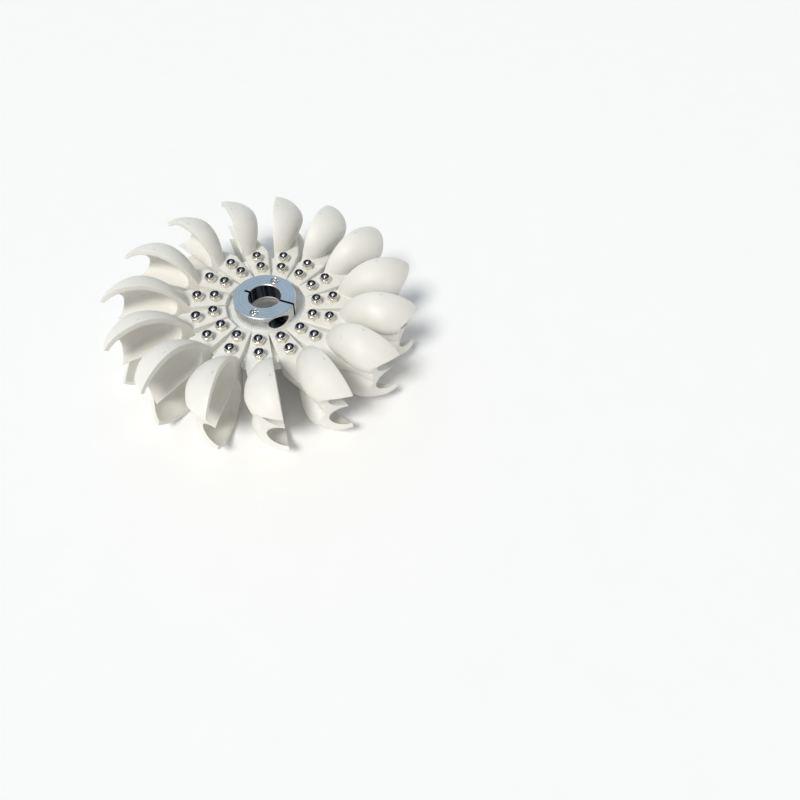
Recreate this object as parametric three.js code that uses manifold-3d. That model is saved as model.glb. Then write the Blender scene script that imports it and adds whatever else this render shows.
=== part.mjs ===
// Small pelton wheel: fifteen moulded double buckets clamped on an aluminium disc,
// with a split clamp collar that grips the shaft. Millimetres, +Z along the shaft.
// The origin is the wheel's centre: on the shaft line, in the plane of the splitters.
import * as THREE from 'three';
import { mergeVertices } from 'three/addons/utils/BufferGeometryUtils.js';
import Module from 'manifold-3d';

const wasm = await Module();
wasm.setup();

// Wheel
const BUCKETS = 15;
const FIRST_BOLT_ANGLE = 90;      // degrees, outer bolt of the first bucket
const ARM_LEAD = 7.55;            // degrees from the outer bolt's radius to the bucket's axis
const CLEARANCE = 0.3;            // between solids that touch in the real wheel

// Disc and collar
const BORE_RADIUS = 12.5;
const DISC_RADIUS = 58.5;
const DISC_THICKNESS = 6;
const SEAT_RADIUS = 28.5;         // the flat underside inside the buckets' roots
const COLLAR_RADIUS = 24;
const COLLAR_HEIGHT = 13;
const COLLAR_CHAMFER = 0.6;
const SLIT_ANGLE = -32.3;         // degrees, seen from above
const SLIT_WIDTH = 2;
const RELIEF_DEPTH = 4.2;         // short slot in the bore opposite the slit

// Clamp screw, across the slit, and the two screws that hold the collar on the disc
const CLAMP_OFFSET = 17.4;        // from the shaft line, along the slit
const CLAMP_HEIGHT = 6.2;         // above the collar's underside
const CLAMP_HEAD_RADIUS = 5;
const CLAMP_HEAD_HEIGHT = 6;
const CLAMP_SHANK_RADIUS = 3;
const CLAMP_SEAT = 5;             // from the slit to the head's seat
const CLAMP_LENGTH = 16;
const POCKET_RADIUS = 5.4;
const FIXING_CIRCLE = 18.2;
const FIXING_HEAD_RADIUS = 2.75;
const FIXING_HEAD_HEIGHT = 3;
const FIXING_SINK = 0.5;
const FIXING_SHANK_RADIUS = 1.5;
const FIXING_LENGTH = 8;          // ends inside the collar, above the disc
const SOCKET_DEPTH = 2;

// Bucket, in its own frame: x outwards, y the way the bowls open, z along the shaft
const ROOT_X = 31;
const ROOT_SLANT = 0.19;
const PAD_HALF_HEIGHT = 7.7;
const PAD_END = 60;               // beyond it the pad runs out as a web in the valley
const PAD_SQUARENESS = 14;
const WEB_END = 88;
const WEB_WAIST = 3.2;            // taken off the web's half height halfway to the notch
const WEB_DEPTH = 16.4;
const WEB_SQUARENESS = 4;
const FRONT_AT_ROOT = 0.3;
const FRONT_SLOPE = 0.073;
const BACK_AT_ROOT = -12.9;
const BACK_SLOPE = -0.19;
const ROOT_REFERENCE = 33;
const BOWL_START = 56.5;
const WIDEST_X = 88.7;
const HALF_WIDTH = 32.6;
const ROOT_POWER = 1.8;
const TIP_LENGTH = 36.8;
const TIP_POWER = 2;
const DEEPEST_X = 95.6;
const LOBE_DEPTH = 22.7;
const LOBE_CENTRE = 0.506;        // share of the half width where a lobe is deepest
const DEPTH_TIP_LENGTH = 29.1;
const DEPTH_POWER = 1.57;
const BLEND = 16;                 // power of the soft maximum that joins a bowl and the pad
const WALL = 4.4;
const HOLLOW_DEPTH = 17.4;
const HOLLOW_TIP_LENGTH = 29.4;
const HOLLOW_ROOT_X = 65.9;
const HOLLOW_ROOT_Z = 12.6;
const HOLLOW_ROOT_POWER = 1.65;
const SPLITTER_START = 73;
const SPLITTER_HALF = 0.35;
const NOTCH_X = 112.1;
const HORN_X = 119;
const HORN_Z = 19.6;
const NOTCH_POWER = 4;
const NOTCH_LEAN = 0.37;          // how much further in the notch cuts for each mm of depth

// Facets: where sections are taken along a bucket, and steps round a section or a circle
const SKIN_STATIONS = [45, 57, 60, 64, 69, 75, 81, 88, 96, 103, 109, 115.5, 121, 124];
const HOLLOW_STATIONS = [66.3, 68, 71, 76, 82, 89, 97, 105, 111, 116.5];
const SIDE_STEPS = 6;             // from a rim to the pad's corner
const BACK_STEPS = 2;             // from there to the middle of the back
const HOLLOW_STEPS = 7;
const RIM_ANGLE = 0.12;           // a hollow's wall stands straight above this angle
const ROUND_STEPS = 60;
const SMALL_STEPS = 12;
const NOTCH_STEPS = 5;            // from the notch's middle to a horn
const PAST = 5;                   // how far a cutting solid runs past what it cuts

const plastic = () => new THREE.MeshStandardMaterial({ color: 0xe9e7df, roughness: 0.42 });
const aluminium = () => new THREE.MeshStandardMaterial({ color: 0xb9c4cc, roughness: 0.3, metalness: 1 });
const steel = () => new THREE.MeshStandardMaterial({ color: 0x3c3c40, roughness: 0.4, metalness: 1 });

const radians = THREE.MathUtils.degToRad;
const clamp01 = (value) => Math.min(1, Math.max(0, value));
const quarter = (share, power) => (1 - clamp01(share) ** power) ** (1 / power);

// A closed geometry as a solid that can be cut and joined
function solidOf(geometry) {
  const bare = geometry.index ? geometry.clone() : geometry;
  bare.deleteAttribute('normal');
  bare.deleteAttribute('uv');
  const merged = mergeVertices(bare, 1e-4);
  return new wasm.Manifold(new wasm.Mesh({
    numProp: 3,
    vertProperties: new Float32Array(merged.attributes.position.array),
    triVerts: new Uint32Array(merged.index.array),
  }));
}

function geometryOf(solid) {
  const mesh = solid.getMesh();
  const geometry = new THREE.BufferGeometry();
  geometry.setAttribute('position', new THREE.BufferAttribute(mesh.vertProperties, 3));
  geometry.setIndex(new THREE.BufferAttribute(mesh.triVerts, 1));
  geometry.computeVertexNormals();
  return geometry;
}

// A cylinder along z from the given height upwards
function rod(radius, from, height, sides) {
  const geometry = new THREE.CylinderGeometry(radius, radius, height, sides);
  geometry.rotateX(Math.PI / 2);
  geometry.translate(0, 0, from + height / 2);
  return geometry;
}

// A solid skinned over loops with equal numbers of points; each end is a fan from its first point
function loft(loops) {
  const count = loops[0].length;
  const index = [];
  for (let i = 0; i + 1 < loops.length; i += 1) {
    for (let j = 0; j < count; j += 1) {
      const a = i * count + j;
      const b = i * count + ((j + 1) % count);
      index.push(a, b + count, b, a, a + count, b + count);
    }
  }
  const last = (loops.length - 1) * count;
  for (let j = 1; j + 1 < count; j += 1) {
    index.push(0, j, j + 1);
    index.push(last, last + j + 1, last + j);
  }
  const geometry = new THREE.BufferGeometry();
  geometry.setAttribute('position', new THREE.Float32BufferAttribute(loops.flat(2), 3));
  geometry.setIndex(index);
  return geometry;
}

// The bucket's formulas: the flat front, the outline of the rims and of the hollows
const frontY = (x) => FRONT_AT_ROOT + FRONT_SLOPE * (x - ROOT_REFERENCE);
const backY = (x) => BACK_AT_ROOT + BACK_SLOPE * (x - ROOT_REFERENCE);

// How far x is from a middle place towards the end on its side, from nought to one
function endShare(x, middle, tipLength) {
  return x < middle ? (middle - x) / (middle - BOWL_START) : (x - middle) / tipLength;
}

function outlineHalfWidth(x) {
  const power = x < WIDEST_X ? ROOT_POWER : TIP_POWER;
  return HALF_WIDTH * quarter(endShare(x, WIDEST_X, TIP_LENGTH), power);
}

// A bowl in a section across the bucket: the distance from the middle of the front to its ellipse
function lobeRadius(x, across, back) {
  const halfWidth = outlineHalfWidth(x);
  const depth = LOBE_DEPTH * quarter(endShare(x, DEEPEST_X, DEPTH_TIP_LENGTH), DEPTH_POWER);
  if (halfWidth < 0.5 || depth < 0.5) {
    return 0;
  }
  const centre = LOBE_CENTRE * halfWidth;
  const reach = halfWidth - centre;
  const a = (across / reach) ** 2 + (back / depth) ** 2;
  const b = (-2 * across * centre) / reach ** 2;
  const c = (centre / reach) ** 2 - 1;
  return (-b + Math.sqrt(Math.max(b * b - 4 * a * c, 0))) / (2 * a);
}

// The pad goes on outwards as a slimmer web: its half height and its depth below the front
function webSize(x) {
  const run = clamp01((x - PAD_END) / (WEB_END - PAD_END));
  const along = clamp01((x - PAD_END) / (NOTCH_X - PAD_END));
  const padDepth = frontY(x) - backY(Math.min(x, PAD_END));
  return {
    height: PAD_HALF_HEIGHT - WEB_WAIST * Math.sin(Math.PI * along),
    depth: padDepth * (1 - run) + WEB_DEPTH * run,
    power: PAD_SQUARENESS + (WEB_SQUARENESS - PAD_SQUARENESS) * run,
  };
}

// The pad and web in the same section, a rounded slab
function slabRadius(x, across, back) {
  const { height, depth, power } = webSize(x);
  return ((across / height) ** power + (back / depth) ** power) ** (-1 / power);
}

// The skin is the soft maximum of the two
function skinRadius(x, angle) {
  const across = Math.max(Math.cos(angle), 0);
  const back = Math.sin(angle);
  const lobe = lobeRadius(x, across, back);
  const slab = slabRadius(x, across, back);
  return (lobe ** BLEND + slab ** BLEND) ** (1 / BLEND);
}

// Half of the points go from the rim to the slab's corner and on to the middle of the back
function skinLoop(x) {
  const { height, depth } = webSize(x);
  const corner = Math.atan2(depth, height);
  const angles = [];
  for (let i = 0; i < SIDE_STEPS; i += 1) {
    angles.push((corner * i) / SIDE_STEPS);
  }
  for (let i = 0; i <= BACK_STEPS; i += 1) {
    angles.push(corner + ((Math.PI / 2 - corner) * i) / BACK_STEPS);
  }
  const side = angles.map((angle) => {
    const radius = skinRadius(x, angle);
    return [x, frontY(x) - radius * Math.sin(angle), radius * Math.cos(angle)];
  });
  const mirrored = side.slice(0, -1).map(([, y, z]) => [x, y, -z]);
  return [[x, frontY(x), 0], ...mirrored, ...side.reverse()];
}

function hollowLoop(x) {
  const rootShare = (WIDEST_X - x) / (WIDEST_X - HOLLOW_ROOT_X);
  const rise = HALF_WIDTH - WALL - HOLLOW_ROOT_Z;
  const outer = x < WIDEST_X
    ? HOLLOW_ROOT_Z + rise * quarter(rootShare, HOLLOW_ROOT_POWER)
    : outlineHalfWidth(x) - WALL;
  const fillet = clamp01((SPLITTER_START - x) / (SPLITTER_START - HOLLOW_ROOT_X));
  const inner = SPLITTER_HALF + (HOLLOW_ROOT_Z - SPLITTER_HALF) * (1 - quarter(fillet, 2));
  const tipShare = (x - WIDEST_X) / HOLLOW_TIP_LENGTH;
  const depth = HOLLOW_DEPTH * quarter(x < WIDEST_X ? rootShare : tipShare, 2);
  const loop = [[x, frontY(x) + PAST, outer], [x, frontY(x) + PAST, inner]];
  for (let i = 0; i <= HOLLOW_STEPS; i += 1) {
    const angle = RIM_ANGLE + ((Math.PI - 2 * RIM_ANGLE) * i) / HOLLOW_STEPS;
    const z = inner + (outer - inner) * (1 - Math.cos(angle)) / 2;
    loop.push([x, frontY(x) - depth * Math.sin(angle), z]);
  }
  return loop;
}

// What the notch takes away: its outline pushed through the bucket along y, leaning inwards at the back
function notchTool() {
  const outline = new THREE.Shape();
  const farX = HORN_X + 6 * PAST;
  const sideX = HORN_X + 4 * PAST;
  const sideZ = HORN_Z + 3 * PAST;
  outline.moveTo(farX, -sideZ);
  outline.lineTo(sideX, -sideZ);
  for (let i = -NOTCH_STEPS; i <= NOTCH_STEPS; i += 1) {
    const share = i / NOTCH_STEPS;
    const x = NOTCH_X + (HORN_X - NOTCH_X) * Math.abs(share) ** NOTCH_POWER;
    outline.lineTo(x, HORN_Z * share);
  }
  outline.lineTo(sideX, sideZ);
  outline.lineTo(farX, sideZ);
  const depth = 2 * HALF_WIDTH;
  const geometry = new THREE.ExtrudeGeometry(outline, { depth, bevelEnabled: false, steps: 1 });
  geometry.rotateX(Math.PI / 2);
  geometry.translate(0, depth / 2, 0);
  const place = geometry.attributes.position;
  for (let i = 0; i < place.count; i += 1) {
    place.setX(i, place.getX(i) - NOTCH_LEAN * (frontY(NOTCH_X) - place.getY(i)));
  }
  return geometry;
}

function bucketGeometry() {
  const root = skinLoop(ROOT_X).map(([, y, z]) => [ROOT_X + ROOT_SLANT * y, y, z]);
  const skins = SKIN_STATIONS.map((x) => skinLoop(x));
  let solid = solidOf(loft([root, ...skins]));
  const hollow = solidOf(loft(HOLLOW_STATIONS.map((x) => hollowLoop(x))));
  const lower = hollow.mirror([0, 0, 1]);
  const slotHeight = DISC_THICKNESS + 2 * CLEARANCE;
  const slot = rod(DISC_RADIUS + CLEARANCE, -slotHeight / 2, slotHeight, ROUND_STEPS);
  solid = solid.subtract(hollow).subtract(lower);
  solid = solid.subtract(solidOf(notchTool())).subtract(solidOf(slot));
  return geometryOf(solid);
}

function discGeometry() {
  const half = DISC_THICKNESS / 2;
  const profile = [
    [BORE_RADIUS, -half], [SEAT_RADIUS, -half], [DISC_RADIUS, -half],
    [DISC_RADIUS, half], [BORE_RADIUS, half], [BORE_RADIUS, -half],
  ].map(([r, z]) => new THREE.Vector2(r, z));
  const geometry = new THREE.LatheGeometry(profile, ROUND_STEPS);
  geometry.rotateX(Math.PI / 2);
  return geometry;
}

// The split collar, with the slit along its own +X; turned to the slit's angle when it is placed
function collarGeometry() {
  const top = COLLAR_HEIGHT;
  const profile = [
    [BORE_RADIUS, CLEARANCE], [COLLAR_RADIUS, CLEARANCE], [COLLAR_RADIUS, top - COLLAR_CHAMFER],
    [COLLAR_RADIUS - COLLAR_CHAMFER, top], [BORE_RADIUS + COLLAR_CHAMFER, top],
    [BORE_RADIUS, top - COLLAR_CHAMFER], [BORE_RADIUS, CLEARANCE],
  ].map(([r, z]) => new THREE.Vector2(r, z));
  const ring = new THREE.LatheGeometry(profile, ROUND_STEPS);
  ring.rotateX(Math.PI / 2);
  let solid = solidOf(ring);
  const slitLength = COLLAR_RADIUS - BORE_RADIUS + 2 * PAST;
  const slit = new THREE.BoxGeometry(slitLength, SLIT_WIDTH, 2 * top);
  slit.translate((BORE_RADIUS + COLLAR_RADIUS) / 2, 0, top / 2);
  const relief = new THREE.BoxGeometry(RELIEF_DEPTH + PAST, SLIT_WIDTH, 2 * top);
  relief.translate(-BORE_RADIUS - (RELIEF_DEPTH - PAST) / 2, 0, top / 2);
  const pocket = rod(POCKET_RADIUS, CLAMP_SEAT, COLLAR_RADIUS, 2 * SMALL_STEPS);
  const shankHole = rod(CLAMP_SHANK_RADIUS + CLEARANCE, CLAMP_SEAT - CLAMP_LENGTH - 1,
    CLAMP_LENGTH + PAST, SMALL_STEPS);
  for (const tool of [pocket, shankHole]) {
    tool.rotateX(Math.PI / 2);
    tool.translate(CLAMP_OFFSET, 0, CLAMP_HEIGHT);
  }
  for (const tool of [slit, relief, pocket, shankHole]) {
    solid = solid.subtract(solidOf(tool));
  }
  const headSeat = top - FIXING_SINK - FIXING_HEAD_HEIGHT;
  for (const side of [-1, 1]) {
    const headRadius = FIXING_HEAD_RADIUS + CLEARANCE;
    const shankRadius = FIXING_SHANK_RADIUS + CLEARANCE;
    const holeFloor = headSeat - FIXING_LENGTH - CLEARANCE;
    const head = rod(headRadius, headSeat - CLEARANCE, 2 * FIXING_HEAD_HEIGHT, SMALL_STEPS);
    const shank = rod(shankRadius, holeFloor, FIXING_LENGTH + 1, SMALL_STEPS);
    for (const tool of [head, shank]) {
      tool.translate(0, side * FIXING_CIRCLE, 0);
      solid = solid.subtract(solidOf(tool));
    }
  }
  return geometryOf(solid);
}

// A socket head screw along z, its head's underside at zero and the shank below it
function screwGeometry(headRadius, headHeight, shankRadius, shankLength) {
  const socket = headRadius / 2;
  const socketFloor = headHeight - SOCKET_DEPTH;
  const profile = [
    [0, -shankLength], [shankRadius, -shankLength], [shankRadius, 0], [headRadius, 0],
    [headRadius, headHeight], [socket, headHeight], [socket, socketFloor], [0, socketFloor],
  ].map(([r, z]) => new THREE.Vector2(r, z));
  const geometry = new THREE.LatheGeometry(profile, SMALL_STEPS);
  geometry.rotateX(Math.PI / 2);
  return geometry;
}

const wheel = new THREE.Group();

function add(parent, name, geometry, material) {
  const mesh = new THREE.Mesh(geometry, material);
  mesh.name = name;
  parent.add(mesh);
  return mesh;
}

add(wheel, 'disc', discGeometry(), aluminium());

const collar = new THREE.Group();
collar.rotation.z = radians(SLIT_ANGLE);
collar.position.z = DISC_THICKNESS / 2;
wheel.add(collar);
add(collar, 'clamp_collar', collarGeometry(), aluminium());

const clampScrew = add(collar, 'clamp_screw',
  screwGeometry(CLAMP_HEAD_RADIUS, CLAMP_HEAD_HEIGHT, CLAMP_SHANK_RADIUS, CLAMP_LENGTH), steel());
clampScrew.rotation.x = Math.PI / 2;
clampScrew.position.set(CLAMP_OFFSET, -CLAMP_SEAT - CLEARANCE, CLAMP_HEIGHT);

const fixing = screwGeometry(FIXING_HEAD_RADIUS, FIXING_HEAD_HEIGHT, FIXING_SHANK_RADIUS, FIXING_LENGTH);
for (const [name, side] of [['collar_screw_back', 1], ['collar_screw_front', -1]]) {
  const screw = add(collar, name, fixing, steel());
  screw.position.set(0, side * FIXING_CIRCLE, COLLAR_HEIGHT - FIXING_SINK - FIXING_HEAD_HEIGHT);
}

const bucket = bucketGeometry();
for (let i = 0; i < BUCKETS; i += 1) {
  const name = `bucket_${String(i + 1).padStart(2, '0')}`;
  const mesh = add(wheel, name, bucket, plastic());
  mesh.rotation.z = radians(FIRST_BOLT_ANGLE + ARM_LEAD - (360 / BUCKETS) * i);
}

export default wheel;
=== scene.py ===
import math

import bmesh
import bpy
import numpy as np
from mathutils import Euler, Matrix, Vector


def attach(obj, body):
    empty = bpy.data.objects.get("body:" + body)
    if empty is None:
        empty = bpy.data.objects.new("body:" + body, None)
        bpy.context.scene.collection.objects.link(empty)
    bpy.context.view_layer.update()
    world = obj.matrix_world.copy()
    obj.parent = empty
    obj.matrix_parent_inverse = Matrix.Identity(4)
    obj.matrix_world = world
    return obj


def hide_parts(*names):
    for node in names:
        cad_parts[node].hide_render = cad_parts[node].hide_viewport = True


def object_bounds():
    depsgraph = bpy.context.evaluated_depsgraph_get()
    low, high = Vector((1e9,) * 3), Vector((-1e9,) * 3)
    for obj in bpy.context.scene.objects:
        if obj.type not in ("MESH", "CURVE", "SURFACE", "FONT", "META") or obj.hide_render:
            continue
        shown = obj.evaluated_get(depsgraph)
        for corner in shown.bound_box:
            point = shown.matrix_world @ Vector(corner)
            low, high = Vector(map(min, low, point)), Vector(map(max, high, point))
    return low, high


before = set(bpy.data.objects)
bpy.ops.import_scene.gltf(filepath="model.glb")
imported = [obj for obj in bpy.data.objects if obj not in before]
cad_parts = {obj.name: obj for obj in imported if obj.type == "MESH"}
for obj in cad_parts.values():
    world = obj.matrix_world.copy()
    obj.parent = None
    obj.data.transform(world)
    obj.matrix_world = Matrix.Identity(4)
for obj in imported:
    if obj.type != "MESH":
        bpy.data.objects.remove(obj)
cad_low, cad_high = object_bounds()


# The camera stands about a third of a metre before the wheel and as far above it, with a wide
# lens. It is turned a little to one side, so the wheel lies left of the picture's middle.
CAMERA_PLACE, CAMERA_TURNS = (0.00164, -0.32124, 0.32431), (34.988, -3.479, -15.218)
SENSOR_WIDTH, FOCAL_LENGTH = 36, 24.85
camera_data = bpy.data.cameras.new("camera")
camera_data.sensor_width = SENSOR_WIDTH
camera_data.lens = FOCAL_LENGTH
camera = bpy.data.objects.new("camera", camera_data)
camera.location = CAMERA_PLACE
camera.rotation_euler = [math.radians(turn) for turn in CAMERA_TURNS]
bpy.context.scene.collection.objects.link(camera)
bpy.context.scene.camera = camera


# The wheel lies flat on its lower bowls, on a plain sheet of white paper that runs on past the
# view. The paper is matt, with the faintest change of tone in it.
FLOOR_REACH = 20.0


def to_linear(hex_colour):
    """An sRGB hex colour as linear red, green, blue and alpha."""
    srgb = np.array([int(hex_colour[i:i + 2], 16) for i in (1, 3, 5)]) / 255
    linear = np.where(srgb <= 0.04045, srgb / 12.92, ((srgb + 0.055) / 1.055) ** 2.4)
    return (*linear.tolist(), 1.0)


def add_node(owner, kind, output=0, **values):
    """Adds a node and returns one of its outputs. A value's name is a field of the node, or one of
    its sockets by name or, after an underscore, by number; another node's output is linked. A
    Mix node's share is socket 0, its two numbers are 2 and 3, and its two colours 6 and 7."""
    made = owner.node_tree.nodes.new(kind)
    for name, value in values.items():
        key = int(name[1:]) if name[0] == "_" else name.replace("_", " ")
        if isinstance(key, str) and key not in made.inputs:
            setattr(made, name, value)
        elif isinstance(value, bpy.types.NodeSocket):
            owner.node_tree.links.new(value, made.inputs[key])
        else:
            made.inputs[key].default_value = value
    return made.outputs[output] if made.outputs else made


def new_material(name):
    """An empty node material, and the place on the object that its patterns are drawn by."""
    material = bpy.data.materials.new(name)
    material.use_nodes = True
    material.node_tree.nodes.clear()
    return material, add_node(material, "ShaderNodeTexCoord", "Object")


white_paper, place = new_material("white_paper_floor")
grain = add_node(white_paper, "ShaderNodeTexNoise", Vector=place, Scale=30.0)
paper_colour = add_node(white_paper, "ShaderNodeMix", 2, data_type="RGBA",
                        _0=grain, _6=to_linear("#FFFFFF"), _7=to_linear("#FDFDFD"))
paper = add_node(white_paper, "ShaderNodeBsdfPrincipled", Base_Color=paper_colour, Roughness=0.9)
add_node(white_paper, "ShaderNodeOutputMaterial", Surface=paper)
corners = np.array([(-1, -1, 0), (1, -1, 0), (1, 1, 0), (-1, 1, 0)]) * FLOOR_REACH
floor_mesh = bpy.data.meshes.new("floor")
floor_mesh.from_pydata(corners + (0, 0, cad_low.z), [], [(0, 1, 2, 3)])
floor_mesh.materials.append(white_paper)
floor = bpy.data.objects.new("floor", floor_mesh)
bpy.context.scene.collection.objects.link(floor)


# Soft studio light: one big soft box far off at the front left, high up, for wide soft shadows
# to the right, and a pale room that is brightest at the ground. The room's far side is blue
# grey, which is what the collar's flat top mirrors.
TOWARDS_BOX, BOX_STRENGTH, BOX_SPREAD = (-0.58, -0.45, 1.05), 2.15, math.radians(20)
FAR_SIDE, FAR_SIDE_EDGE, FAR_SIDE_STRENGTH = (-0.15, 0.74, 0.65), (0.76, 0.90), 0.9
GROUND_FADE, ROOM_STRENGTHS = (0.03, 0.16), (0.95, 0.38)
soft_box = bpy.data.lights.new("soft_box", "SUN")
soft_box.energy = BOX_STRENGTH
soft_box.angle = BOX_SPREAD
soft_box.color = to_linear("#FFFDF8")[:3]
box_light = bpy.data.objects.new("soft_box", soft_box)
box_light.rotation_euler = Vector(TOWARDS_BOX).to_track_quat("Z", "Y").to_euler()
bpy.context.scene.collection.objects.link(box_light)
room = bpy.data.worlds.new("pale_room")
room.use_nodes = True
room.node_tree.nodes.clear()
direction = add_node(room, "ShaderNodeTexCoord", "Generated")
nearness = add_node(room, "ShaderNodeVectorMath", 1, operation="DOT_PRODUCT",
                    _0=direction, _1=FAR_SIDE)
on_far_side = add_node(room, "ShaderNodeMapRange", interpolation_type="SMOOTHSTEP",
                       Value=nearness, From_Min=FAR_SIDE_EDGE[0], From_Max=FAR_SIDE_EDGE[1])
room_colour = add_node(room, "ShaderNodeMix", 2, data_type="RGBA",
                       _0=on_far_side, _6=to_linear("#FFFFFF"), _7=to_linear("#AFC6D8"))
height = add_node(room, "ShaderNodeSeparateXYZ", "Z", Vector=direction)
wall_strength = add_node(room, "ShaderNodeMapRange", interpolation_type="SMOOTHSTEP",
                         Value=height, From_Min=GROUND_FADE[0], From_Max=GROUND_FADE[1],
                         To_Min=ROOM_STRENGTHS[0], To_Max=ROOM_STRENGTHS[1])
room_strength = add_node(room, "ShaderNodeMix", 0, data_type="FLOAT",
                         _0=on_far_side, _2=wall_strength, _3=FAR_SIDE_STRENGTH)
room_light = add_node(room, "ShaderNodeBackground", Color=room_colour, Strength=room_strength)
add_node(room, "ShaderNodeOutputWorld", Surface=room_light)
bpy.context.scene.world = room
bpy.context.scene.view_settings.view_transform = "Standard"


# The disc that carries the buckets is turned from 6 mm aluminium plate. Its corners are broken,
# and the lathe has left fine rings round the shaft that give the bare metal its dull sheen.
# From here on lengths are in millimetres, but in metres for welds, bevels and materials.
DISC_RADIUS, DISC_HALF, BORE_RADIUS, DISC_CORNER = 58.5, 3.0, 12.5, 0.4
MILLIMETRE, SAME_POINT = 0.001, 1e-6
SHARP_ANGLE = math.radians(35)
RINGS_PER_METRE, CLOUDS_PER_METRE, STREAKS_PER_RADIAN = 1250.0, 90.0, 26.0
BORE_SIDE, SIDE_FADE = (0.0127, 0.0130), 0.0003


def welded(mesh, distance):
    """The mesh with points closer than a distance in metres made one, and its faces turned
    outwards."""
    work = bmesh.new()
    work.from_mesh(mesh)
    bmesh.ops.remove_doubles(work, verts=work.verts, dist=distance)
    bmesh.ops.recalc_face_normals(work, faces=work.faces)
    work.to_mesh(mesh)
    work.free()
    return mesh


def mesh_of(name, patches, finishes=None):
    """Grids of points in millimetres as one mesh: neighbouring points of a grid make four-sided
    faces, points that two grids share become one, and all faces are turned outwards. Finishes
    are the numbers of the grids' materials."""
    points, faces, numbers, start = [], [], [], 0
    for patch, finish in zip(patches, finishes or [0] * len(patches)):
        rows, columns = patch.shape[:2]
        number = start + np.arange(rows * columns).reshape(rows, columns)
        quads = np.stack([number[:-1, :-1], number[1:, :-1], number[1:, 1:], number[:-1, 1:]], -1)
        faces.append(quads.reshape(-1, 4))
        points.append(patch.reshape(-1, 3))
        numbers.append(np.full((rows - 1) * (columns - 1), finish))
        start += rows * columns
    mesh = bpy.data.meshes.new(name)
    mesh.from_pydata(np.concatenate(points) * MILLIMETRE, [], np.concatenate(faces).tolist())
    mesh.polygons.foreach_set("material_index", np.concatenate(numbers))
    return welded(mesh, SAME_POINT)


def ring_mesh(name, profile, sides=192):
    """A closed profile of radii and heights in millimetres, turned round the shaft line."""
    radius, height = np.array(profile + profile[:1]).T
    angle = np.linspace(0, math.tau, sides + 1)[:, None]
    height = np.broadcast_to(height, (sides + 1, len(radius)))
    return mesh_of(name, [np.stack([radius * np.cos(angle), radius * np.sin(angle), height], -1)])


def add_piece(name, mesh, materials, slot, *nodes):
    """Puts a mesh in the scene as a piece of the wheel, smooth but for its sharp edges."""
    mesh.polygons.foreach_set("use_smooth", np.ones(len(mesh.polygons), bool))
    mesh.set_sharp_from_angle(angle=SHARP_ANGLE)
    for material in materials:
        mesh.materials.append(material)
    piece = bpy.data.objects.new(name, mesh)
    bpy.context.scene.collection.objects.link(piece)
    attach(piece, "root")
    for node in nodes:
        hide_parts(node)


def turned_metal(name, pale, dark, roughness, side_roughness, side_radius):
    """Aluminium from a lathe: rings round the shaft on the flats and upright streaks on the
    sides, which lie beyond side_radius or in the bore, in faint clouds 11 mm across. Rings
    0.1 mm apart are drawn 0.8 mm apart to show."""
    metal, place = new_material(name)
    flat = add_node(metal, "ShaderNodeVectorMath", operation="MULTIPLY", _0=place, _1=(1, 1, 0))
    radius = add_node(metal, "ShaderNodeVectorMath", "Value", operation="LENGTH", _0=flat)
    rings = add_node(metal, "ShaderNodeTexNoise", noise_dimensions="1D", W=radius,
                     Scale=RINGS_PER_METRE, Detail=3.0)
    split = add_node(metal, "ShaderNodeSeparateXYZ", "X", Vector=place)
    across = split.node.outputs["Y"]
    angle = add_node(metal, "ShaderNodeMath", operation="ARCTAN2", _0=across, _1=split)
    streaks = add_node(metal, "ShaderNodeTexNoise", noise_dimensions="1D", W=angle,
                       Scale=STREAKS_PER_RADIAN, Detail=4.0)
    outer = add_node(metal, "ShaderNodeMapRange", interpolation_type="SMOOTHSTEP",
                     Value=radius, From_Min=side_radius - SIDE_FADE, From_Max=side_radius)
    bore = add_node(metal, "ShaderNodeMapRange", interpolation_type="SMOOTHSTEP", Value=radius,
                    From_Min=BORE_SIDE[0], From_Max=BORE_SIDE[1], To_Min=1.0, To_Max=0.0)
    side = add_node(metal, "ShaderNodeMath", operation="MAXIMUM", _0=outer, _1=bore)
    marks = add_node(metal, "ShaderNodeMix", 0, data_type="FLOAT", _0=side, _2=rings, _3=streaks)
    cloud = add_node(metal, "ShaderNodeTexNoise", Vector=place, Scale=CLOUDS_PER_METRE, Detail=4.0)
    tone = add_node(metal, "ShaderNodeMath", operation="MULTIPLY_ADD", _0=cloud, _1=0.4, _2=marks)
    darker = add_node(metal, "ShaderNodeMapRange", interpolation_type="SMOOTHSTEP",
                      Value=tone, From_Min=0.5, From_Max=0.95)
    colour = add_node(metal, "ShaderNodeMix", 2, data_type="RGBA", _0=darker, _6=pale, _7=dark)
    gloss = add_node(metal, "ShaderNodeMix", 0, data_type="FLOAT",
                     _0=side, _2=roughness, _3=side_roughness)
    gloss = add_node(metal, "ShaderNodeMath", operation="MULTIPLY_ADD", _0=tone, _1=0.12, _2=gloss)
    bump = add_node(metal, "ShaderNodeBump", Strength=0.1, Distance=0.00003, Height=marks)
    shader = add_node(metal, "ShaderNodeBsdfPrincipled",
                      Base_Color=colour, Metallic=1.0, Roughness=gloss, Normal=bump)
    add_node(metal, "ShaderNodeOutputMaterial", Surface=shader)
    return metal


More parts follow.
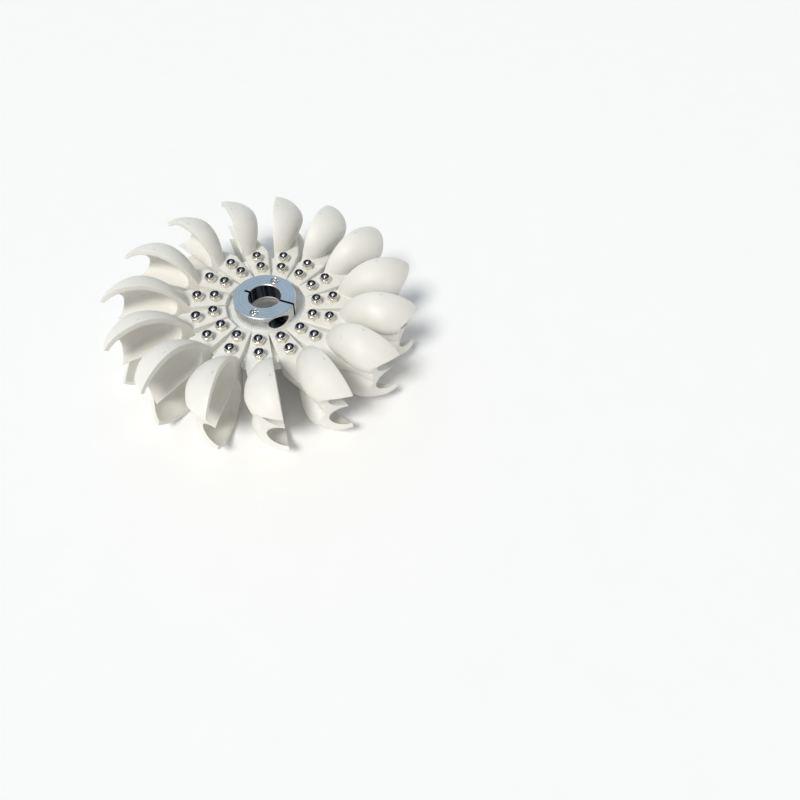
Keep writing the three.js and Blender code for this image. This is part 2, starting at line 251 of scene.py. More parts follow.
face, edge = DISC_HALF, DISC_HALF - DISC_CORNER
disc_mesh = ring_mesh("disc", [
    (BORE_RADIUS + DISC_CORNER, -face), (DISC_RADIUS - DISC_CORNER, -face), (DISC_RADIUS, -edge),
    (DISC_RADIUS, edge), (DISC_RADIUS - DISC_CORNER, face), (BORE_RADIUS + DISC_CORNER, face),
    (BORE_RADIUS, edge), (BORE_RADIUS, -edge)])
disc_metal = turned_metal("turned_aluminium_plate", to_linear("#FAFAF8"), to_linear("#E8E8E6"),
                          roughness=0.82, side_roughness=0.45, side_radius=0.0583)
add_piece("turned_disc", disc_mesh, [disc_metal], "aluminium", "disc")


# Fifteen double buckets, injection moulded in white nylon: two bowls side by side with a sharp
# splitter between them, a notch at the tip that leaves a horn on each side, and a flat pad whose
# root is forked to straddle the disc. Worked out once, then turned to its fifteen places.
BUCKETS = 15
FIRST_AXIS = math.radians(97.55)
ROOT_X, ROOT_SLANT = 31.0, 0.19
PAD_HALF_HEIGHT, PAD_END, PAD_SQUARENESS = 7.7, 60.0, 14.0
WEB_END, WEB_WAIST, WEB_DEPTH, WEB_SQUARENESS = 88.0, 3.2, 16.4, 4.0
FRONT_AT_ROOT, FRONT_SLOPE = 0.3, 0.073
BACK_AT_ROOT, BACK_SLOPE = -12.9, -0.19
ROOT_REFERENCE = 33.0
BOWL_START = 56.5
WIDEST_X, HALF_WIDTH = 88.7, 32.6
ROOT_POWER, TIP_LENGTH, TIP_POWER = 1.8, 36.8, 2.0
DEEPEST_X, LOBE_DEPTH, LOBE_CENTRE = 95.6, 22.7, 0.506
DEPTH_TIP_LENGTH, DEPTH_POWER = 29.1, 1.57
BLEND = 16.0
LEAST_SIZE = 1e-3
WALL = 4.4
HOLLOW_DEPTH, HOLLOW_TIP_LENGTH = 17.4, 29.4
HOLLOW_X, HOLLOW_Z, HOLLOW_POWER = 65.9, 12.6, 1.65
SPLITTER_START, SPLITTER_HALF = 73.0, 0.35
NOTCH_X, HORN_X, HORN_Z, NOTCH_POWER, NOTCH_LEAN = 112.1, 119.0, 19.6, 4.0, 0.37
PAST_TIP, HALVINGS = 2, 32
MIDDLE_STEPS, BOWL_STEPS, BAND_STEPS = 2, 54, 4
PAD_TURN, PAD_ROWS, PAD_FINE_ROWS, TIP_ROWS = 0.7, 9, 19, 45
SLOT_RADIUS, SLOT_HALF = DISC_RADIUS + 0.3, DISC_HALF + 0.05
CORNER_ROUNDING, NO_WIDTH = 0.00035, 2e-6
GATE_PLACE, GATE_SIZE = (0.090, 0.0015, 0.0322), (0.0019, 0.0010, 0.0032)
CLOUDS, SPECKS, SPECK_PATCHES, RUBS, TORN_EDGE, ORANGE_PEEL = 28.0, 520.0, 45.0, 160.0, 1100.0, 900.0


def quarter(share, power):
    """A quarter of a superellipse: one at share nought, falling to nought at share one."""
    return (1 - np.clip(share, 0, 1) ** power) ** (1 / power)


def front_y(x):
    """The flat front that holds both rims, the splitter and the pad's front edge."""
    return FRONT_AT_ROOT + FRONT_SLOPE * (x - ROOT_REFERENCE)


def end_share(x, middle, tip_length):
    """How far x is from a middle place towards the end on its side, from nought to one."""
    return np.where(x < middle, (middle - x) / (middle - BOWL_START), (x - middle) / tip_length)


def outline_half_width(x):
    """Half the width of the two bowls together: a superellipse each side of the widest place."""
    power = np.where(x < WIDEST_X, ROOT_POWER, TIP_POWER)
    return HALF_WIDTH * quarter(end_share(x, WIDEST_X, TIP_LENGTH), power)


def skin_radius(x, angle):
    """Distance from the middle of the front to the skin, in a section across the bucket.
    It is a soft maximum of a bowl's ellipse and of the pad's rounded slab, which runs out as a
    slimmer web in the valley between the bowls."""
    across, back = np.cos(angle), np.sin(angle)
    width = outline_half_width(x)
    depth = LOBE_DEPTH * quarter(end_share(x, DEEPEST_X, DEPTH_TIP_LENGTH), DEPTH_POWER)
    centre = LOBE_CENTRE * width
    reach = np.maximum(width - centre, LEAST_SIZE)
    deep = np.maximum(depth, LEAST_SIZE)
    a = (across / reach) ** 2 + (back / deep) ** 2
    b = -2 * across * centre / reach ** 2
    c = (centre / reach) ** 2 - 1
    lobe = (-b + np.sqrt(np.maximum(b * b - 4 * a * c, 0))) / (2 * a)
    run = np.clip((x - PAD_END) / (WEB_END - PAD_END), 0, 1)
    along = np.clip((x - PAD_END) / (NOTCH_X - PAD_END), 0, 1)
    height = PAD_HALF_HEIGHT - WEB_WAIST * np.sin(math.pi * along)
    back_y = BACK_AT_ROOT + BACK_SLOPE * (np.minimum(x, PAD_END) - ROOT_REFERENCE)
    thickness = (front_y(x) - back_y) * (1 - run) + WEB_DEPTH * run
    power = PAD_SQUARENESS + (WEB_SQUARENESS - PAD_SQUARENESS) * run
    slab = ((across / height) ** power + (back / thickness) ** power) ** (-1 / power)
    return (lobe ** BLEND + slab ** BLEND) ** (1 / BLEND)


def skin_points(x, angle):
    """Points of the skin at stations x and angles round the middle of the front."""
    radius = skin_radius(x, angle)
    return np.stack([x, front_y(x) - radius * np.sin(angle), radius * np.cos(angle)], -1)


def hollow_points(x, angle):
    """Points of a bowl's inside: half an ellipse from the splitter's edge to the outer rim."""
    root_share = (WIDEST_X - x) / (WIDEST_X - HOLLOW_X)
    rise = HALF_WIDTH - WALL - HOLLOW_Z
    root_outer = HOLLOW_Z + rise * quarter(root_share, HOLLOW_POWER)
    outer = np.where(x < WIDEST_X, root_outer, outline_half_width(x) - WALL)
    fillet = (SPLITTER_START - x) / (SPLITTER_START - HOLLOW_X)
    inner = SPLITTER_HALF + (HOLLOW_Z - SPLITTER_HALF) * (1 - quarter(fillet, 2))
    tip_share = (x - WIDEST_X) / HOLLOW_TIP_LENGTH
    depth = HOLLOW_DEPTH * quarter(np.where(x < WIDEST_X, root_share, tip_share), 2)
    z = inner + (outer - inner) * (1 - np.cos(angle)) / 2
    return np.stack([x, front_y(x) - depth * np.sin(angle), z], -1)


def front_notch_x(z):
    """The notch's edge on the front: flat in the middle and sweeping out to the horns."""
    return NOTCH_X + (HORN_X - NOTCH_X) * (np.abs(z) / HORN_Z) ** NOTCH_POWER


def notch_x(y, z):
    """The notch's face: it leans, so that it cuts in further with depth below the front."""
    return (front_notch_x(z) - NOTCH_LEAN * (front_y(0) - y)) / (1 + NOTCH_LEAN * FRONT_SLOPE)


def notch_end(points, angle):
    """Where a surface's lines of equal angle meet the notch, by halving the interval."""
    low = np.full(angle.shape, WIDEST_X)
    high = np.full(angle.shape, WIDEST_X + HOLLOW_TIP_LENGTH + PAST_TIP)
    for _ in range(HALVINGS):
        middle = (low + high) / 2
        place = points(middle, angle)
        inside = middle < notch_x(place[..., 1], place[..., 2])
        low, high = np.where(inside, middle, low), np.where(inside, high, middle)
    return (low + high) / 2


def bucket_patches():
    """The bucket's upper half as grids of points that meet line to line, in millimetres. Rows
    lie closer where the pad meets the bowl, where the surfaces bend most."""
    middle, bowl, band = MIDDLE_STEPS, BOWL_STEPS, BAND_STEPS
    across = middle + bowl
    pad_rows = np.concatenate([np.linspace(0, PAD_TURN, PAD_ROWS),
                               np.linspace(PAD_TURN, 1, PAD_FINE_ROWS)[1:]])
    run = np.linspace(0, 1, TIP_ROWS)
    tip_rows = run ** 2 * (1.5 - 0.5 * run)
    skin_angle = math.pi / 2 * (1 - (np.arange(across + 1) / across) ** 2)
    bowl_angle = math.pi * np.arange(bowl + 1) / bowl
    root = skin_points(np.full(across + 1, ROOT_X), skin_angle)
    root_x = ROOT_X + ROOT_SLANT * root[:, 1]
    pad_x = root_x + (HOLLOW_X - root_x) * pad_rows[:, None]
    skin_end = notch_end(skin_points, skin_angle)
    tip_x = HOLLOW_X + (skin_end - HOLLOW_X) * tip_rows[1:, None]
    skin_x = np.concatenate([pad_x, tip_x])
    skin = skin_points(skin_x, np.broadcast_to(skin_angle, skin_x.shape))
    rim = skin[:, -1]

    bowl_end = notch_end(hollow_points, bowl_angle)
    bowl_x = HOLLOW_X + (bowl_end - HOLLOW_X) * tip_rows[:, None]
    hollow = hollow_points(bowl_x, np.broadcast_to(bowl_angle, bowl_x.shape))

    def flat(start, end, steps):
        """A strip of the front between two lines of points."""
        share = np.linspace(0, 1, steps + 1)[None, :, None]
        strip = start[:, None] + (end - start)[:, None] * share
        if strip[-1, 0, 0] > WIDEST_X:
            strip[-1, :, 0] = front_notch_x(strip[-1, :, 2])
        strip[..., 1] = front_y(strip[..., 0])
        return strip

    count = len(pad_rows)
    pad_centre = rim[:count] * (1, 1, 0)
    pole_share = HOLLOW_Z / rim[count - 1, 2]
    pad_split = pad_centre + (rim[:count] - pad_centre) * pole_share
    pad_split[-1] = hollow[0, 0]
    inner_pad = flat(pad_centre, pad_split, middle)
    outer_pad = flat(pad_split, rim[:count], band)
    ridge = hollow[:, 0] * (1, 1, 0)
    ridge[-1, 0] = NOTCH_X
    splitter = flat(ridge, hollow[:, 0], middle)
    outer_band = flat(hollow[:, -1], rim[count - 1:], band)

    inner_edge = np.concatenate([splitter[-1], hollow[-1, 1:]])
    share = np.linspace(0, 1, band + 1)[:, None, None]
    notch = inner_edge + (skin[-1] - inner_edge) * share
    notch[..., 0] = notch_x(notch[..., 1], notch[..., 2])
    notch[:, -1] = outer_band[-1]

    root_loop = np.concatenate([inner_pad[0], outer_pad[0, 1:], skin[0, ::-1][1:]])
    root_middle = np.broadcast_to(root_loop[[0, -1]].mean(0), root_loop.shape)
    root_cap = np.stack([root_loop, root_middle])
    return [skin, hollow, inner_pad, outer_pad, splitter, outer_band, notch, root_cap]


def finished(name, mesh, tools=(), bevel=0.0):
    """The mesh with the tools cut out of it and its sharp edges rounded by a width in metres,
    modifiers applied. A cut can leave two points almost in one place, with a face of no width
    between them, so they are welded."""
    workpiece = bpy.data.objects.new(name, mesh)
    bpy.context.scene.collection.objects.link(workpiece)
    cutters = []
    for tool in tools:
        cutter = bpy.data.objects.new(name + "_tool", tool)
        bpy.context.scene.collection.objects.link(cutter)
        cutters.append(cutter)
        cut = workpiece.modifiers.new("cut", "BOOLEAN")
        cut.operation = "DIFFERENCE"
        cut.solver = "EXACT"
        cut.object = cutter
    if bevel:
        rounding = workpiece.modifiers.new("rounding", "BEVEL")
        rounding.width = bevel
        rounding.segments = 2
        rounding.limit_method = "ANGLE"
        rounding.angle_limit = SHARP_ANGLE
        rounding.use_clamp_overlap = True
    evaluated = workpiece.evaluated_get(bpy.context.evaluated_depsgraph_get())
    result = bpy.data.meshes.new_from_object(evaluated)
    result.name = name
    for made in [workpiece, *cutters]:
        bpy.data.objects.remove(made)
    return welded(result, NO_WIDTH)


def nylon_material():
    """White nylon from the mould: creamy, satin, softly lit from within, in clouds 36 mm across,
    with the mould's faint orange peel of 1 mm, a few dark rubs of 6 mm and specks of 2 mm, and
    a rough little scar at each bowl's widest place, where the gate was cut off. The specks are
    drawn as coarse as they need to be to show."""
    nylon, place = new_material("moulded_white_nylon")
    cloud = add_node(nylon, "ShaderNodeTexNoise", Vector=place, Scale=CLOUDS, Detail=4.0)
    creamier = add_node(nylon, "ShaderNodeMapRange", interpolation_type="SMOOTHSTEP",
                        Value=cloud, From_Min=0.35, From_Max=0.65)
    base = add_node(nylon, "ShaderNodeMix", 2, data_type="RGBA",
                    _0=creamier, _6=to_linear("#EDECE6"), _7=to_linear("#E8E6DF"))
    specks = add_node(nylon, "ShaderNodeTexNoise", Vector=place, Scale=SPECKS, Detail=2.0)
    patches = add_node(nylon, "ShaderNodeTexNoise", Vector=place, Scale=SPECK_PATCHES, Detail=3.0)
    dark_specks = add_node(nylon, "ShaderNodeMapRange", interpolation_type="SMOOTHSTEP",
                           Value=specks, From_Min=0.68, From_Max=0.74)
    in_patches = add_node(nylon, "ShaderNodeMapRange", interpolation_type="SMOOTHSTEP",
                          Value=patches, From_Min=0.5, From_Max=0.7)
    speck = add_node(nylon, "ShaderNodeMath", operation="MULTIPLY", _0=dark_specks, _1=in_patches)
    stretched = add_node(nylon, "ShaderNodeVectorMath", operation="MULTIPLY", _0=place, _1=(1, 1, 4))
    rubs = add_node(nylon, "ShaderNodeTexNoise", Vector=stretched, Scale=RUBS, Detail=5.0)
    rub = add_node(nylon, "ShaderNodeMapRange", interpolation_type="SMOOTHSTEP",
                   Value=rubs, From_Min=0.66, From_Max=0.8, To_Max=0.5)
    stain = add_node(nylon, "ShaderNodeMath", operation="MAXIMUM", _0=speck, _1=rub)
    stained = add_node(nylon, "ShaderNodeMath", operation="MULTIPLY", _0=stain, _1=0.55)
    colour = add_node(nylon, "ShaderNodeMix", 2, data_type="RGBA",
                      _0=stained, _6=base, _7=to_linear("#A79F92"))
    in_mould = add_node(nylon, "ShaderNodeAttribute", "Vector", attribute_name="place_in_mould")
    from_gate = add_node(nylon, "ShaderNodeVectorMath", operation="SUBTRACT",
                         _0=in_mould, _1=GATE_PLACE)
    in_gates = add_node(nylon, "ShaderNodeVectorMath", operation="DIVIDE",
                        _0=from_gate, _1=GATE_SIZE)
    away = add_node(nylon, "ShaderNodeVectorMath", "Value", operation="LENGTH", _0=in_gates)
    ragged = add_node(nylon, "ShaderNodeTexNoise", Vector=place, Scale=TORN_EDGE, Detail=3.0)
    torn = add_node(nylon, "ShaderNodeMath", operation="MULTIPLY_ADD", _0=ragged, _1=1.6, _2=away)
    scar = add_node(nylon, "ShaderNodeMapRange", interpolation_type="SMOOTHSTEP",
                    Value=torn, From_Min=1.35, From_Max=1.75, To_Min=1.0, To_Max=0.0)
    scarred = add_node(nylon, "ShaderNodeMath", operation="MULTIPLY", _0=scar, _1=0.25)
    colour = add_node(nylon, "ShaderNodeMix", 2, data_type="RGBA",
                      _0=scarred, _6=colour, _7=to_linear("#A8998A"))
    peel = add_node(nylon, "ShaderNodeTexNoise", Vector=place, Scale=ORANGE_PEEL, Detail=2.0)
    relief = add_node(nylon, "ShaderNodeMath", operation="MULTIPLY_ADD", _0=scar, _1=4.0, _2=peel)
    bump = add_node(nylon, "ShaderNodeBump", Strength=0.12, Distance=0.00005, Height=relief)
    roughness = add_node(nylon, "ShaderNodeMapRange", interpolation_type="SMOOTHSTEP",
                         Value=cloud, From_Min=0.3, From_Max=0.7, To_Min=0.44, To_Max=0.54)
    shader = add_node(nylon, "ShaderNodeBsdfPrincipled",
                      Base_Color=colour, Roughness=roughness, IOR=1.53, Subsurface_Weight=0.12,
                      Subsurface_Radius=(1.0, 0.85, 0.65), Subsurface_Scale=0.002, Normal=bump)
    add_node(nylon, "ShaderNodeOutputMaterial", Surface=shader)
    return nylon


half = bucket_patches()
blank = mesh_of("bucket_blank", half + [patch * (1, 1, -1) for patch in half])
slot_tool = ring_mesh("slot_tool", [
    (0, -SLOT_HALF), (SLOT_RADIUS, -SLOT_HALF), (SLOT_RADIUS, SLOT_HALF), (0, SLOT_HALF)])
bucket_mesh = finished("bucket", blank, [slot_tool], bevel=CORNER_ROUNDING)
nylon = nylon_material()


def turned(points, angle):
    """Points turned round the shaft line by an angle."""
    spin = np.array([[math.cos(angle), -math.sin(angle), 0],
                     [math.sin(angle), math.cos(angle), 0], [0, 0, 1]])
    return points @ spin.T


def turned_places(points, number):
    """Points of the bucket as worked out, turned to a bucket's place on the wheel."""
    return turned(points, FIRST_AXIS - math.tau / BUCKETS * number)


bucket_points = np.zeros(len(bucket_mesh.vertices) * 3)
bucket_mesh.vertices.foreach_get("co", bucket_points)
bucket_points = bucket_points.reshape(-1, 3)
in_mould = bucket_points * (1, 1, 0) + np.abs(bucket_points) * (0, 0, 1)
mould_places = bucket_mesh.attributes.new("place_in_mould", "FLOAT_VECTOR", "POINT")
mould_places.data.foreach_set("vector", in_mould.ravel())
for i in range(BUCKETS):
    mesh = bucket_mesh.copy()
    mesh.vertices.foreach_set("co", turned_places(bucket_points, i).ravel())
    node = f"bucket_{i + 1:02d}"
    add_piece(f"moulded_{node}", mesh, [nylon], "bucket_plastic", node)


# Thirty M5 bolts, two to a bucket, clamp the forked pads on the disc: hexagon heads below and
# nylon insert lock nuts above, bright zinc plate, with the dark blue insert gripping each bolt.
BOLT_RADII, BOLT_ASIDE = (38.9, 52.1), -6.9
ACROSS_FLATS = 8.0
HEX_SLOPE = 0.577
HEX_STEPS = 48
BOLT_SEED = 7


def hexagon_radius(across_flats):
    """How far a hexagon's sides lie from its middle, at each step of the way round."""
    angle = np.linspace(0, math.tau, HEX_STEPS + 1)
    return across_flats / 2 / np.cos((angle + math.pi / 6) % (math.pi / 3) - math.pi / 6)


def rows_round(rims, levels):
    """Rows of points round an upright axis, from each row's radius and height, which are either
    one number or one for each step of the way round."""
    angle = np.linspace(0, math.tau, HEX_STEPS + 1)
    rims = np.stack([np.broadcast_to(rim, angle.shape) for rim in rims])
    levels = np.stack([np.broadcast_to(level, angle.shape) for level in levels])
    return np.stack([rims * np.cos(angle), rims * np.sin(angle), levels], -1)


def hex_rows(profile):
    """Rows of points round an upright axis, from radii, heights and corner drops. A row with no
    drop is a circle; one with a drop is a hexagon whose corners lie lower by the drop for each
    millimetre that they stand out, as a turned chamfer leaves them."""
    hexagon = hexagon_radius(ACROSS_FLATS)
    corner = hexagon - ACROSS_FLATS / 2
    rims = [radius if drop is None else hexagon for radius, _, drop in profile]
    return rows_round(rims, [height - (drop or 0) * corner for _, height, drop in profile])


NUT = hex_rows([
    (2.6, 0, None), (3.85, 0, None), (4, 0.09, -HEX_SLOPE), (4, 3.5, HEX_SLOPE), (3.85, 3.6, None),
    (3.68, 3.68, None), (3.6, 3.9, None), (3.6, 4.5, None), (3.55, 4.85, None), (3.42, 5.0, None),
    (3.3, 4.95, None), (3.25, 4.6, None), (2.6, 4.6, None), (2.6, 0, None)])
INSERT = hex_rows([
    (3.27, 4.5, None), (3.27, 4.75, None), (3.15, 4.95, None), (2.9, 5.06, None), (2.65, 5.02, None),
    (2.45, 4.85, None), (2.42, 4.4, None), (3.27, 4.5, None)])
SHANK = hex_rows([
    (0, -18.9, None), (3.7, -18.9, None), (3.85, -18.85, None), (4, -18.75, -HEX_SLOPE),
    (4, -15.45, None), (2.5, -15.4, None), (2.5, 4.2, None)])
THREAD = hex_rows([
    (2.5, 4.2, None), (2.3, 4.25, None), (2.38, 4.32, None), (1.8, 4.7, None), (1.3, 5.02, None)])
END = hex_rows([
    (1.3, 5.02, None), (1.2, 5.14, None), (0.95, 5.3, None), (0.5, 5.44, None), (0, 5.48, None)])


def plated_steel():
    """Bright zinc plate, a touch warm. It is mottled in tone and gloss, and shallow dents break
    up what it mirrors, both 0.7 mm across, as coarse as they need to be to show."""
    steel, place = new_material("bright_zinc_plate")
    mottle = add_node(steel, "ShaderNodeTexNoise", Vector=place, Scale=1400.0, Detail=2.0)
    duller = add_node(steel, "ShaderNodeMapRange", interpolation_type="SMOOTHSTEP",
                      Value=mottle, From_Min=0.3, From_Max=0.7)
    colour = add_node(steel, "ShaderNodeMix", 2, data_type="RGBA",
                      _0=duller, _6=to_linear("#EBE8DF"), _7=to_linear("#D6D1C6"))
    roughness = add_node(steel, "ShaderNodeMapRange", interpolation_type="SMOOTHSTEP",
                         Value=mottle, From_Min=0.3, From_Max=0.7, To_Min=0.07, To_Max=0.12)
    dents = add_node(steel, "ShaderNodeBump", Height=mottle, Strength=0.5, Distance=0.00025)
    shader = add_node(steel, "ShaderNodeBsdfPrincipled",
                      Base_Color=colour, Metallic=1.0, Roughness=roughness, Normal=dents)
    add_node(steel, "ShaderNodeOutputMaterial", Surface=shader)
    return steel


def blue_nylon():
    """The lock nuts' insert: dark blue nylon, slightly glossy, with paler scuffs of 1 mm where
    the thread went through."""
    insert, place = new_material("dark_blue_nylon")
    scuff = add_node(insert, "ShaderNodeTexNoise", Vector=place, Scale=900.0, Detail=3.0)
    paler = add_node(insert, "ShaderNodeMapRange", interpolation_type="SMOOTHSTEP",
                     Value=scuff, From_Min=0.5, From_Max=0.75)
    colour = add_node(insert, "ShaderNodeMix", 2, data_type="RGBA",
                      _0=paler, _6=to_linear("#0E1430"), _7=to_linear("#1E2952"))
    shader = add_node(insert, "ShaderNodeBsdfPrincipled", Base_Color=colour, Roughness=0.13, IOR=1.53)
    add_node(insert, "ShaderNodeOutputMaterial", Surface=shader)
    return insert


def painted_thread_shade():
    """The bolt's first thread turns in painted shade: darker than the plate, for the shade in their
    grooves, in spots of 0.7 mm."""
    thread, place = new_material("thread_painted_shade")
    groove = add_node(thread, "ShaderNodeTexNoise", Vector=place, Scale=1500.0, Detail=2.0)
    less_shaded = add_node(thread, "ShaderNodeMapRange", interpolation_type="SMOOTHSTEP",
                       Value=groove, From_Min=0.4, From_Max=0.7)
    colour = add_node(thread, "ShaderNodeMix", 2, data_type="RGBA",
                      # Painted shade: a grey darker than the zinc, standing for the shade in the thread's
                      # grooves.
                      _0=less_shaded, _6=to_linear("#5E5E64"), _7=to_linear("#83838A"))
    shader = add_node(thread, "ShaderNodeBsdfPrincipled", Base_Color=colour, Metallic=1.0, Roughness=0.22)
    add_node(thread, "ShaderNodeOutputMaterial", Surface=shader)
    return thread


def array_of(name, parts):
    """Parts, each a grid of points round an upright axis and its material's number, copied to
    the thirty bolts' places on the pads' upper face, each turned by a random angle."""
    random = np.random.default_rng(BOLT_SEED)
    patches, finishes = [], []
    for number in range(BUCKETS):
        for along in BOLT_RADII:
            turn = random.uniform(0, math.pi / 3)
            for grid, finish in parts:
                placed = turned(grid, turn) + (along, BOLT_ASIDE, PAD_HALF_HEIGHT)
                patches.append(turned_places(placed, number))
                finishes.append(finish)
    return mesh_of(name, patches, finishes)


zinc, insert_blue, thread_shade = plated_steel(), blue_nylon(), painted_thread_shade()
nuts = array_of("lock_nuts", [(NUT, 0), (INSERT, 1)])
add_piece("lock_nuts", nuts, [zinc, insert_blue], "steel")
# The thread turns take the second material, painted shade.
bolts = array_of("pad_bolts", [(SHANK, 0), (THREAD, 1), (END, 0)])
add_piece("pad_bolts", bolts, [zinc, thread_shade], "steel")


# The split collar that grips the shaft, turned from aluminium bar and left bright: a slit on one
# side that a clamp screw pulls shut, a short relief slot across from it, a round pocket for the
# screw's head, and two counterbored holes for the screws that hold it on the disc.
COLLAR_RADIUS, COLLAR_HEIGHT, COLLAR_CORNER = 24.0, 13.0, 0.5
SLIT_ANGLE, SLIT_WIDTH, RELIEF_DEPTH = math.radians(-32.3), 2.0, 4.2
CLAMP_OFFSET, CLAMP_HEIGHT, CLAMP_SEAT, POCKET_RADIUS = 17.4, 6.2, 5.0, 5.4
FIXING_CIRCLE, FIXING_HOLE_RADIUS, FIXING_HOLE_FLOOR = 18.2, 3.05, 9.2
HOLE_CORNER, EDGE_BREAK, TOOL_SPARE = 0.5, 0.05, 1
POCKET_TOOL_LENGTH, SLOT_OVERLAP = 30, 3
ON_FACE, ON_CUT, INSIDE_RIM, UPRIGHT = 0.05, 0.01, 0.1, 0.5
SHADE_STREAKS_PER_RADIAN = 2.5


def slot_cutter(start, end):
    """A cutting tool along x for a saw cut through the collar: a profile with upright sides,
    widened where it meets the top, carried straight from the start to the end."""
    half_cut, corner = SLIT_WIDTH / 2, COLLAR_HEIGHT - EDGE_BREAK
    wide, above = half_cut + EDGE_BREAK + TOOL_SPARE, COLLAR_HEIGHT + TOOL_SPARE
    profile = np.array([(-half_cut, -TOOL_SPARE), (half_cut, -TOOL_SPARE), (half_cut, corner),
                        (wide, above), (-wide, above), (-half_cut, corner)])
    count = len(profile)
    ends = [np.insert(profile, 0, x, axis=1) for x in (start, end)]
    first = np.arange(count)
    after = np.roll(first, -1)
    sides = np.stack([first, after, count + after, count + first], -1).tolist()
    caps = [first.tolist(), (count + first).tolist()]
    mesh = bpy.data.meshes.new("slot_cutter")
    mesh.from_pydata(np.concatenate(ends) * MILLIMETRE, [], sides + caps)
    return welded(mesh, SAME_POINT)


def moved(mesh, spin=(0, 0, 0), shift=(0, 0, 0)):
    """A mesh turned by angles round x, y and z, then shifted by millimetres."""
    place = Matrix.Translation(Vector(shift) * MILLIMETRE)
    mesh.transform(place @ Euler(spin).to_matrix().to_4x4())
    return mesh


top, outer, inner = COLLAR_HEIGHT, COLLAR_RADIUS, BORE_RADIUS
collar_blank = ring_mesh("collar_blank", [
    (inner, 0), (outer, 0), (outer, top - COLLAR_CORNER), (outer - COLLAR_CORNER, top),
    (inner + COLLAR_CORNER, top), (inner, top - COLLAR_CORNER)])
pocket = ring_mesh("pocket", [(0, 0), (POCKET_RADIUS, 0), (POCKET_RADIUS, POCKET_TOOL_LENGTH),
                              (0, POCKET_TOOL_LENGTH)], sides=64)
collar_tools = [
    slot_cutter(inner - SLOT_OVERLAP, outer + TOOL_SPARE),
    slot_cutter(-inner - RELIEF_DEPTH, -inner + SLOT_OVERLAP),
    moved(pocket, (math.pi / 2, 0, 0), (CLAMP_OFFSET, -CLAMP_SEAT, CLAMP_HEIGHT))]
hole_profile = [
    (0, FIXING_HOLE_FLOOR), (FIXING_HOLE_RADIUS, FIXING_HOLE_FLOOR),
    (FIXING_HOLE_RADIUS, top - HOLE_CORNER),
    (FIXING_HOLE_RADIUS + HOLE_CORNER + TOOL_SPARE, top + TOOL_SPARE), (0, top + TOOL_SPARE)]
for side in (-1, 1):
    hole = ring_mesh("fixing_hole", hole_profile, sides=48)
    collar_tools.append(moved(hole, shift=(0, side * FIXING_CIRCLE, 0)))
collar_mesh = finished("collar", collar_blank, collar_tools)
centres = np.zeros(len(collar_mesh.polygons) * 3)
normals = np.zeros(len(collar_mesh.polygons) * 3)
collar_mesh.polygons.foreach_get("center", centres)
collar_mesh.polygons.foreach_get("normal", normals)
x, y, z = centres.reshape(-1, 3).T / MILLIMETRE
upright = np.abs(normals[2::3]) < UPRIGHT
within_rim = np.hypot(x, y) < outer - INSIDE_RIM
in_bore = np.hypot(x, y) < inner + ON_FACE
in_cuts = upright & (np.abs(y) < SLIT_WIDTH / 2 + ON_CUT) & within_rim
in_pocket = (np.hypot(x - CLAMP_OFFSET, z - CLAMP_HEIGHT) < POCKET_RADIUS + ON_FACE) & (y < 0)
in_pocket &= within_rim
# The bore, saw cuts and pocket take the second material: painted shade and painted reflection.
collar_mesh.polygons.foreach_set("material_index", (in_bore | in_cuts | in_pocket).astype(np.int32))
moved(collar_mesh, (0, 0, SLIT_ANGLE), (0, 0, DISC_HALF))


def painted_shade_metal():
    """Painted shade and painted reflection for the bore, saw cuts and pocket: blue black for the
    shade in them and their dark reflections, with a few broad upright streaks of paler reflection."""
    shade_paint, place = new_material("aluminium_painted_shade")
    split = add_node(shade_paint, "ShaderNodeSeparateXYZ", "X", Vector=place)
    across = split.node.outputs["Y"]
    angle = add_node(shade_paint, "ShaderNodeMath", operation="ARCTAN2", _0=across, _1=split)
    streaks = add_node(shade_paint, "ShaderNodeTexNoise", noise_dimensions="1D", W=angle,
                       Scale=SHADE_STREAKS_PER_RADIAN, Detail=3.0)
    paler_streak = add_node(shade_paint, "ShaderNodeMapRange", interpolation_type="SMOOTHSTEP",
                       Value=streaks, From_Min=0.4, From_Max=0.65)
    # Painted shade: blue black, with paler upright streaks of painted reflection.
    colour = add_node(shade_paint, "ShaderNodeMix", 2, data_type="RGBA",
                      _0=paler_streak, _6=to_linear("#232B34"), _7=to_linear("#6A7887"))
    shader = add_node(shade_paint, "ShaderNodeBsdfPrincipled", Base_Color=colour, Metallic=0.9, Roughness=0.3)
    add_node(shade_paint, "ShaderNodeOutputMaterial", Surface=shader)
    return shade_paint


collar_metal = turned_metal("turned_aluminium_bar", to_linear("#EFEFEF"), to_linear("#D4D5D7"),
                            roughness=0.14, side_roughness=0.3, side_radius=0.0238)
add_piece("split_collar", collar_mesh, [collar_metal, painted_shade_metal()], "aluminium", "clamp_collar")


# The clamp screw lies deep in the collar's pocket, a socket head cap screw in black oxide, with
# its hexagon socket towards the opening.
SOCKET_RIM, SOCKET_DEPTH_SHARES = 0.2, (0.45, 0.3)


def socket_screw(radius, height, shank_radius, shank_length, socket, corner):
    """A socket head screw as rows of points: a round head from nought to its height with broken
    corners, a hexagon socket in it of the given width across its flats, whose floor is a cone
    as the drill leaves it, and a plain shank below."""
    hexagon = hexagon_radius(socket)
    wall_end, cone_end = (height * share for share in SOCKET_DEPTH_SHARES)
    rims, levels = zip(
        (0, -shank_length), (shank_radius - corner, -shank_length),
        (shank_radius, -shank_length + corner), (shank_radius, 0),
        (radius - corner / 2, 0), (radius, corner / 2),
        (radius, height - corner), (radius - corner, height),
        (hexagon + SOCKET_RIM, height), (hexagon, height - SOCKET_RIM),
        (hexagon, wall_end), (0, cone_end))
    return rows_round(rims, levels)


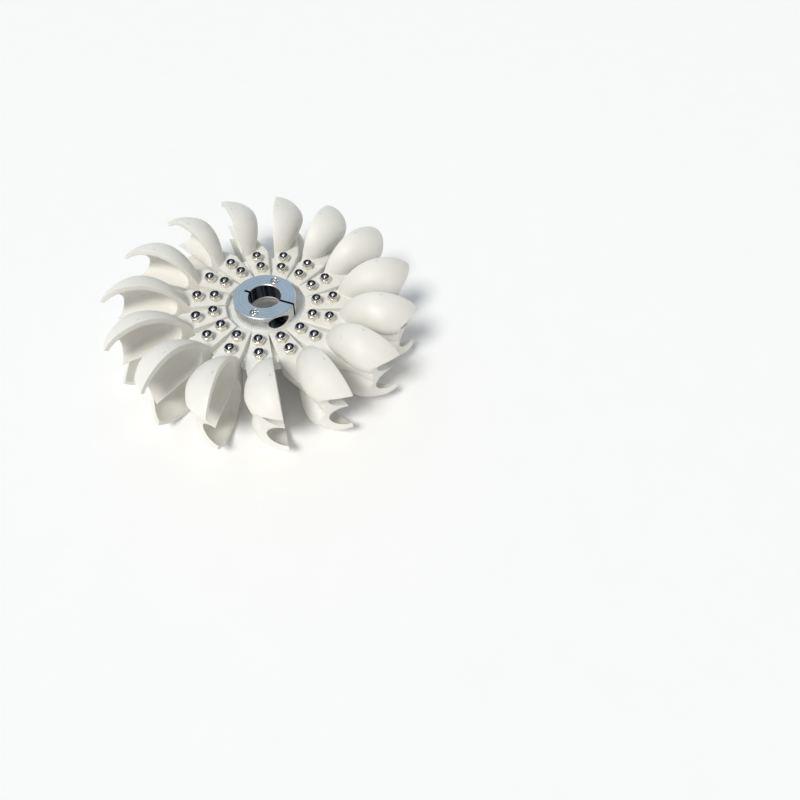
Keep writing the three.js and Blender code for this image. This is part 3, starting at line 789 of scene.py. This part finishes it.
def black_oxide():
    """Black oxide on steel: a thin dark film, semi matt, that wears to grey in spots of 2 mm."""
    oxide, place = new_material("black_oxide_steel")
    wear = add_node(oxide, "ShaderNodeTexNoise", Vector=place, Scale=600.0, Detail=4.0)
    worn = add_node(oxide, "ShaderNodeMapRange", interpolation_type="SMOOTHSTEP",
                    Value=wear, From_Min=0.55, From_Max=0.75)
    colour = add_node(oxide, "ShaderNodeMix", 2, data_type="RGBA",
                      _0=worn, _6=to_linear("#1A1A1C"), _7=to_linear("#3D3D40"))
    roughness = add_node(oxide, "ShaderNodeMapRange", interpolation_type="SMOOTHSTEP",
                         Value=wear, From_Min=0.4, From_Max=0.7, To_Min=0.38, To_Max=0.5)
    shader = add_node(oxide, "ShaderNodeBsdfPrincipled",
                      Base_Color=colour, Metallic=0.7, Roughness=roughness)
    add_node(oxide, "ShaderNodeOutputMaterial", Surface=shader)
    return oxide


oxide = black_oxide()
clamp_mesh = mesh_of("clamp_screw", [socket_screw(
    radius=5.0, height=6.0, shank_radius=3.0, shank_length=15.5, socket=5.0, corner=0.5)])
moved(clamp_mesh, (math.pi / 2, 0, 0), (CLAMP_OFFSET, -CLAMP_SEAT, CLAMP_HEIGHT))
moved(clamp_mesh, (0, 0, SLIT_ANGLE), (0, 0, DISC_HALF))
add_piece("black_clamp_screw", clamp_mesh, [oxide], "steel", "clamp_screw")


# Two small socket head screws, zinc plated, hold the collar down on the disc. Their heads lie
# in its counterbored holes, a little below its top.
SCREW_LIFT, SCREW_TURN = 0.3, 0.3
for side, node in ((1, "collar_screw_back"), (-1, "collar_screw_front")):
    screw_mesh = mesh_of(node, [socket_screw(
        radius=2.75, height=3.0, shank_radius=1.5, shank_length=5.5, socket=2.5, corner=0.3)])
    moved(screw_mesh, (0, 0, SCREW_TURN * side),
          (0, side * FIXING_CIRCLE, FIXING_HOLE_FLOOR + SCREW_LIFT))
    moved(screw_mesh, (0, 0, SLIT_ANGLE), (0, 0, DISC_HALF))
    add_piece(node.replace("collar", "sunk"), screw_mesh, [zinc], "steel", node)
